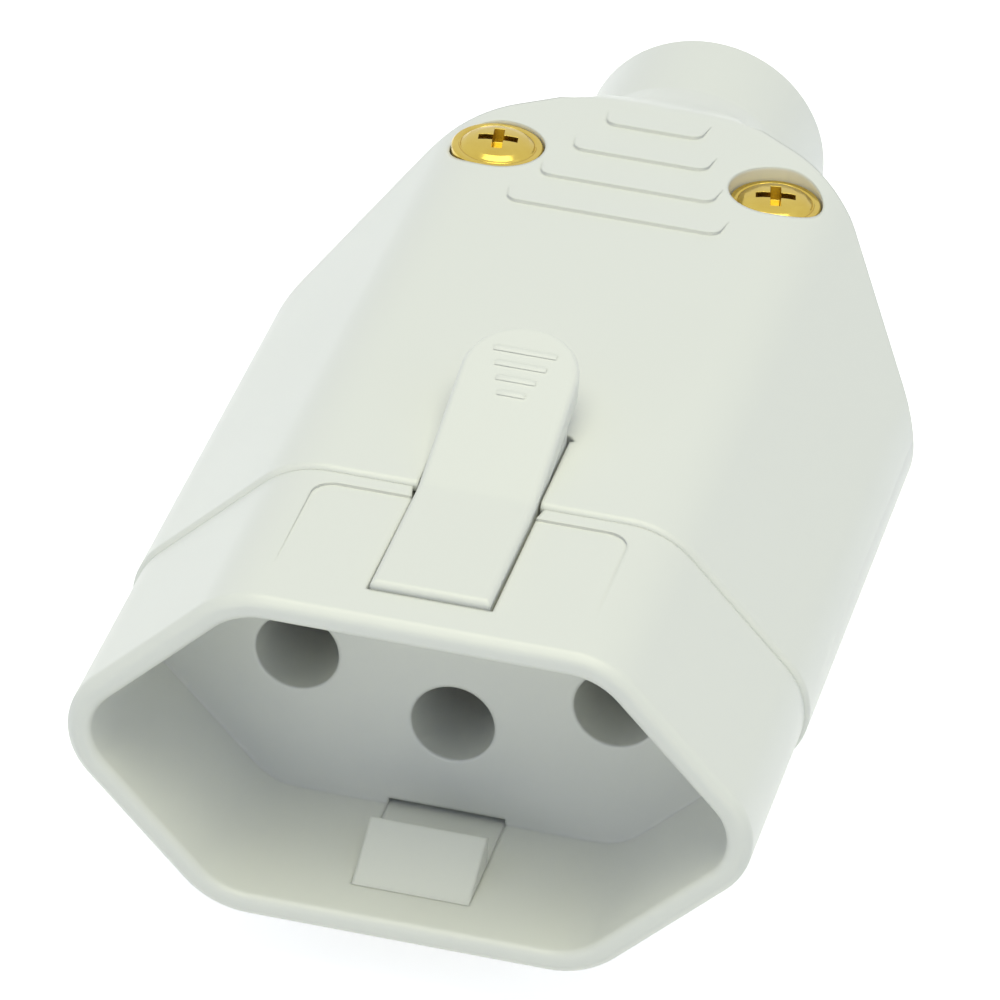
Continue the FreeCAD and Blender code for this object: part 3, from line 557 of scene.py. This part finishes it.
# Turned screw standing on its seat at zero: spun head, threaded shank, cut recess
def makeScrewTree(name, outline):
    tree, identifiers, given = startTree(name, {
        "Head Radius": "NodeSocketFloat", "Head Height": "NodeSocketFloat",
        "Edge Rounding": "NodeSocketFloat",
        "Shank Radius": "NodeSocketFloat", "Shank Length": "NodeSocketFloat",
        "Thread Pitch": "NodeSocketFloat", "Thread Depth": "NodeSocketFloat",
        "Recess Length": "NodeSocketFloat", "Recess Width": "NodeSocketFloat",
        "Recess Depth": "NodeSocketFloat",
        "Cross": "NodeSocketFloat", "Turn": "NodeSocketFloat", "Seat": "NodeSocketVector",
        "Material": "NodeSocketMaterial",
    })
    head = spinOutline(tree, outline, given["Head Radius"], given["Head Height"], given["Edge Rounding"])

    # Recess: one bar, and a second across it, which on a slotted head is no longer than the slot is wide
    depth = addMath(tree, "MULTIPLY", given["Recess Depth"], 2)
    taper = turning["recessTaper"]
    bars = []
    for across in (False, True):
        sides = {"X": given["Recess Length"], "Y": given["Recess Width"]}
        if across:
            length = addMath(tree, "MULTIPLY", given["Recess Length"], given["Cross"])
            length = addMath(tree, "MAXIMUM", length, given["Recess Width"])
            sides = {"X": given["Recess Width"], "Y": length}
        size = addNode(tree, "ShaderNodeCombineXYZ", None, None, {**sides, "Z": depth})
        bar = addNode(tree, "GeometryNodeMeshCube", None, None, {"Size": size.outputs[0]})
        spot = addNode(tree, "GeometryNodeInputPosition").outputs[0]
        parts = addNode(tree, "ShaderNodeSeparateXYZ", None, None, {0: spot})
        low = addNode(tree, "FunctionNodeCompare", {"data_type": "FLOAT", "operation": "LESS_THAN"},
                      {1: 0.0}, {0: parts.outputs["Z"]})
        draft = addNode(tree, "ShaderNodeVectorMath", {"operation": "MULTIPLY"}, {1: (taper, taper, 1)},
                        {0: spot})
        bars.append(addNode(tree, "GeometryNodeSetPosition", None, None,
                            {"Geometry": bar.outputs[0], "Selection": low.outputs[0],
                             "Position": draft.outputs[0]}).outputs[0])
    lift = addNode(tree, "ShaderNodeCombineXYZ", None, None, {"Z": given["Head Height"]})
    tool = addNode(tree, "GeometryNodeMeshBoolean", {"operation": "UNION", "solver": "EXACT"}, None,
                   {"Mesh 2": bars[0]})
    tree.links.new(bars[1], tool.inputs["Mesh 2"])
    tool = addNode(tree, "GeometryNodeTransform", None, None,
                   {"Geometry": tool.outputs[0], "Translation": lift.outputs[0]})
    cut = addNode(tree, "GeometryNodeMeshBoolean", {"operation": "DIFFERENCE", "solver": "EXACT"}, None,
                  {"Mesh 1": head, "Mesh 2": tool.outputs[0]})

    # Shank: a core and a thread swept up it
    core = addMath(tree, "SUBTRACT", given["Shank Radius"], given["Thread Depth"])
    half = addMath(tree, "MULTIPLY", given["Shank Length"], -0.5)
    middle = addNode(tree, "ShaderNodeCombineXYZ", None, None, {"Z": half})
    barrel = addNode(tree, "GeometryNodeMeshCylinder", None, {"Vertices": turning["shankSides"]},
                     {"Radius": core, "Depth": given["Shank Length"]})
    barrel = addNode(tree, "GeometryNodeTransform", None, None,
                     {"Geometry": barrel.outputs[0], "Translation": middle.outputs[0]})
    plain = addMath(tree, "MULTIPLY", given["Thread Pitch"], 2)
    run = addMath(tree, "SUBTRACT", given["Shank Length"], plain)
    turns = addMath(tree, "DIVIDE", run, given["Thread Pitch"])
    helix = addNode(tree, "GeometryNodeCurveSpiral", None, {"Resolution": turning["threadSteps"]},
                    {"Rotations": turns, "Start Radius": core, "End Radius": core, "Height": run})
    ridge = addNode(tree, "GeometryNodeCurvePrimitiveCircle", None, {"Resolution": turning["threadSides"]},
                    {"Radius": given["Thread Depth"]})
    upright = addNode(tree, "GeometryNodeSetCurveNormal", None, None, {"Curve": helix.outputs[0]})
    thread = addNode(tree, "GeometryNodeCurveToMesh", None, {"Fill Caps": True},
                     {"Curve": upright.outputs[0], "Profile Curve": ridge.outputs[0]})
    foot = addMath(tree, "SUBTRACT", given["Thread Pitch"], given["Shank Length"])
    footing = addNode(tree, "ShaderNodeCombineXYZ", None, None, {"Z": foot})
    thread = addNode(tree, "GeometryNodeTransform", None, None,
                     {"Geometry": thread.outputs[0], "Translation": footing.outputs[0]})

    joined = addNode(tree, "GeometryNodeJoinGeometry")
    for part in (cut, barrel, thread):
        tree.links.new(part.outputs[0], joined.inputs[0])
    about = addNode(tree, "ShaderNodeCombineXYZ", None, None, {"Z": given["Turn"]})
    turned = addNode(tree, "FunctionNodeEulerToRotation", None, None, {0: about.outputs[0]})
    seated = addNode(tree, "GeometryNodeTransform", None, None,
                     {"Geometry": joined.outputs[0], "Rotation": turned.outputs[0],
                      "Translation": given["Seat"]})
    finishTree(tree, seated.outputs[0], given["Material"])
    return tree, identifiers


# How finely the spring wire is cut
winding = {"coilSteps": 40, "wireSides": 14}


# Compression spring standing on zero: round wire, with a closed coil at each end
def makeSpringTree(name):
    tree, identifiers, given = startTree(name, {
        "Coil Radius": "NodeSocketFloat", "Wire Radius": "NodeSocketFloat", "Height": "NodeSocketFloat",
        "Turns": "NodeSocketFloat", "Closed Share": "NodeSocketFloat", "Foot": "NodeSocketVector",
        "Material": "NodeSocketMaterial",
    })
    helix = addNode(tree, "GeometryNodeCurveSpiral", None,
                    {"Resolution": winding["coilSteps"], "Height": 0.0},
                    {"Rotations": given["Turns"], "Start Radius": given["Coil Radius"],
                     "End Radius": given["Coil Radius"]})
    along = addNode(tree, "GeometryNodeSplineParameter").outputs["Factor"]
    wire = addMath(tree, "MULTIPLY", given["Wire Radius"], 2)
    farEnd = addMath(tree, "SUBTRACT", 1, given["Closed Share"])
    closedRise = addMath(tree, "MULTIPLY", wire, 3)   # both closed coils and the wire's own thickness
    openRise = addMath(tree, "SUBTRACT", given["Height"], closedRise)
    first = addNode(tree, "ShaderNodeMapRange", None, None,
                    {"Value": along, "From Max": given["Closed Share"], "To Max": wire})
    rising = addNode(tree, "ShaderNodeMapRange", None, None,
                     {"Value": along, "From Min": given["Closed Share"], "From Max": farEnd,
                      "To Max": openRise})
    last = addNode(tree, "ShaderNodeMapRange", None, None,
                   {"Value": along, "From Min": farEnd, "To Max": wire})
    height = addMath(tree, "ADD", first.outputs[0], rising.outputs[0])
    height = addMath(tree, "ADD", height, last.outputs[0])
    height = addMath(tree, "ADD", height, given["Wire Radius"])
    lift = addNode(tree, "ShaderNodeCombineXYZ", None, None, {"Z": height})
    raised = addNode(tree, "GeometryNodeSetPosition", None, None,
                     {"Geometry": helix.outputs[0], "Offset": lift.outputs[0]})
    section = addNode(tree, "GeometryNodeCurvePrimitiveCircle", None, {"Resolution": winding["wireSides"]},
                      {"Radius": given["Wire Radius"]})
    coil = addNode(tree, "GeometryNodeCurveToMesh", None, {"Fill Caps": True},
                   {"Curve": raised.outputs[0], "Profile Curve": section.outputs[0]})
    seated = addNode(tree, "GeometryNodeTransform", None, None,
                     {"Geometry": coil.outputs[0], "Translation": given["Foot"]})
    finishTree(tree, seated.outputs[0], given["Material"])
    return tree, identifiers


# A tree's result with these input values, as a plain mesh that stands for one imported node
def growPiece(nodeName, body, tree, identifiers, values):
    piece = bpy.data.objects.new(pieceNameOf(nodeName), bpy.data.meshes.new(pieceNameOf(nodeName)))
    bpy.context.scene.collection.objects.link(piece)
    modifier = piece.modifiers.new("grown", "NODES")
    modifier.node_group = tree
    for label, value in values.items():
        modifier[identifiers[label]] = value
    asPlainMesh(piece)
    shape = bmesh.new()
    shape.from_mesh(piece.data)
    bmesh.ops.recalc_face_normals(shape, faces=shape.faces)
    shadeSoftly(shape)
    shape.to_mesh(piece.data)
    shape.free()
    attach(piece, body)
    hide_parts(nodeName)
    return piece


# Clamp screws: a washer rim, a shallow groove and a low dome with a cross recess
clampScrew = {
    "outline": [(0, 1), (0.3, 0.985), (0.52, 0.93), (0.68, 0.84), (0.79, 0.71), (0.82, 0.615),
                (0.86, 0.675), (0.965, 0.67), (1, 0.6), (1, 0), (0, 0)],
    "headHeight": 1.6 * mm, "edgeRounding": 0.06 * mm, "shankRadius": 1.46 * mm,
    "threadPitch": 0.7 * mm, "threadDepth": 0.22 * mm,
    "recessLength": 2.9 * mm, "recessWidth": 0.78 * mm, "recessDepth": 0.95 * mm,
    "turns": {"clamp_screw_left": 0.14, "clamp_screw_right": 0.2},
}
# Terminal and cover screws: flat cheese heads with one slot
slottedScrew = {
    "outline": [(0, 1), (0.86, 0.97), (1, 0.82), (1, 0), (0, 0)],
    "edgeRounding": 0.08 * mm, "threadPitch": 0.5 * mm, "threadDepth": 0.16 * mm,
    "slotReach": 1.1,   # share of the head's width
    "slotWidth": 0.6 * mm, "slotDepth": 0.6 * mm,
    "nodes": {
        "terminal_screw_live": {"headHeight": 1.6 * mm, "shankRadius": 1.48 * mm, "turn": 0.5},
        "terminal_screw_neutral": {"headHeight": 1.6 * mm, "shankRadius": 1.48 * mm, "turn": -0.8},
        "terminal_screw_earth": {"headHeight": 1.6 * mm, "shankRadius": 1.48 * mm, "turn": 0.1},
        "cover_screw": {"headHeight": 1.2 * mm, "shankRadius": 0.89 * mm, "turn": 1.1},
    },
}


# Where a screw stands and how wide its head is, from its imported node
def screwPlace(nodeName, headHeight):
    low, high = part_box(nodeName)
    seat = high[2] - headHeight
    return {
        "Head Radius": (high[0] - low[0]) / 2, "Head Height": headHeight, "Shank Length": seat - low[2],
        "Seat": ((low[0] + high[0]) / 2, (low[1] + high[1]) / 2, seat),
    }


def makeScrews():
    kind = clampScrew
    tree, identifiers = makeScrewTree("domedCrossScrew", kind["outline"])
    for nodeName, turn in kind["turns"].items():
        growPiece(nodeName, "shell", tree, identifiers, {
            **screwPlace(nodeName, kind["headHeight"]),
            "Edge Rounding": kind["edgeRounding"], "Shank Radius": kind["shankRadius"],
            "Thread Pitch": kind["threadPitch"], "Thread Depth": kind["threadDepth"],
            "Recess Length": kind["recessLength"], "Recess Width": kind["recessWidth"],
            "Recess Depth": kind["recessDepth"], "Cross": 1.0, "Turn": turn, "Material": brightBrass,
        })
    kind = slottedScrew
    tree, identifiers = makeScrewTree("slottedCheeseScrew", kind["outline"])
    for nodeName, size in kind["nodes"].items():
        place = screwPlace(nodeName, size["headHeight"])
        growPiece(nodeName, "shell", tree, identifiers, {
            **place,
            "Edge Rounding": kind["edgeRounding"], "Shank Radius": size["shankRadius"],
            "Thread Pitch": kind["threadPitch"], "Thread Depth": kind["threadDepth"],
            "Recess Length": place["Head Radius"] * 2 * kind["slotReach"],
            "Recess Width": kind["slotWidth"], "Recess Depth": kind["slotDepth"], "Cross": 0.0,
            "Turn": size["turn"], "Material": zincSteel,
        })


makeScrews()
print("screws turned")

# Springs under the finger pads; each stays on its seat
latchSpring = {
    "wireRadius": 0.2 * mm, "turns": 5.5, "closedShare": 0.16, "keep": 0.78,
    "nodes": {"latch_spring_top": "upper_latch_rock", "latch_spring_bottom": "lower_latch_rock"},
}


def makeSprings():
    tree, identifiers = makeSpringTree("closedEndSpring")
    wireRadius = latchSpring["wireRadius"]
    for nodeName, joint in latchSpring["nodes"].items():
        low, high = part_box(nodeName)
        centre = ((low[0] + high[0]) / 2, (low[1] + high[1]) / 2)
        piece = growPiece(nodeName, "shell", tree, identifiers, {
            "Coil Radius": (high[0] - low[0]) / 2 - wireRadius, "Wire Radius": wireRadius,
            "Height": high[2] - low[2], "Turns": latchSpring["turns"],
            "Closed Share": latchSpring["closedShare"], "Foot": (*centre, low[2]), "Material": springSteel,
        })
        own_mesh(piece)


makeSprings()
print("springs wound")

# Floor, sky and lamps
studio = {
    "floorHalf": 1.5,
    "floorColour": "#f0f0ee",
    "floorGlow": 0.7,
    "skyColour": "#d6e2ff",      # as the surfaces see it
    "skyStrength": 0.5,
    "seenColour": "#ffffff",     # as the camera, glosses and glass see it
    "seenStrength": 1.0,
    "lamps": {
        "topSoftbox": {"place": (0.05, -0.16, 0.70), "size": 0.7, "power": 3.35, "colour": "#fffed8"},
        "leftFill": {"place": (-0.40, -0.70, 0.08), "size": 0.4, "power": 0.45, "colour": "#fffdfa"},
        "rightFill": {"place": (0.60, -0.20, 0.25), "size": 0.4, "power": 0.12, "colour": "#fffdfa"},
    },
}


# How much of a ray is one that the camera, a gloss or glass sends
def addSeenShare(tree):
    path = addNode(tree, "ShaderNodeLightPath")
    seen = addMath(tree, "MAXIMUM", path.outputs["Is Camera Ray"], path.outputs["Is Glossy Ray"])
    return addMath(tree, "MAXIMUM", seen, path.outputs["Is Transmission Ray"])


def makeFloor():
    half = studio["floorHalf"]
    mesh = bpy.data.meshes.new("paleFloor")
    corners = [(-half, -half, 0), (half, -half, 0), (half, half, 0), (-half, half, 0)]
    mesh.from_pydata(corners, [], [(0, 1, 2, 3)])
    floor = bpy.data.objects.new("paleFloor", mesh)
    bpy.context.scene.collection.objects.link(floor)
    material, tree = startMaterial("paleFloor")
    glow = addMath(tree, "MULTIPLY", addSeenShare(tree), studio["floorGlow"])
    lit = addNode(tree, "ShaderNodeBsdfDiffuse", None, {"Color": toLinear(studio["floorColour"])})
    shine = addNode(tree, "ShaderNodeEmission", None, None, {"Strength": glow})
    both = addNode(tree, "ShaderNodeAddShader", None, None, {0: lit.outputs[0], 1: shine.outputs[0]})
    addNode(tree, "ShaderNodeOutputMaterial", None, None, {"Surface": both.outputs[0]})
    mesh.materials.append(material)


def makeSky():
    world = bpy.data.worlds.new("studioSky")
    bpy.context.scene.world = world
    world.use_nodes = True
    tree = world.node_tree
    tree.nodes.clear()
    seen = addSeenShare(tree)
    level = addNode(tree, "ShaderNodeMapRange", None,
                    {"To Min": studio["skyStrength"], "To Max": studio["seenStrength"]}, {"Value": seen})
    tint = mixColours(tree, {"colour": studio["skyColour"], "colourFar": studio["seenColour"]}, seen)
    sky = addNode(tree, "ShaderNodeBackground", None, None,
                  {"Color": tint, "Strength": level.outputs["Result"]})
    addNode(tree, "ShaderNodeOutputWorld", None, None, {"Surface": sky.outputs[0]})


def makeLamps():
    target = Vector((0, 0, axisHeight))
    for name, lamp in studio["lamps"].items():
        data = bpy.data.lights.new(name, "AREA")
        data.shape = "DISK"
        data.size = lamp["size"]
        data.energy = lamp["power"]
        data.color = toLinear(lamp["colour"])[:3]
        lampObject = bpy.data.objects.new(name, data)
        bpy.context.scene.collection.objects.link(lampObject)
        place = Vector(lamp["place"])
        lampObject.location = place
        lampObject.rotation_euler = (target - place).to_track_quat("-Z", "Y").to_euler()


makeFloor()
makeSky()
makeLamps()
bpy.context.scene.view_settings.view_transform = "Standard"
print("studio ready")
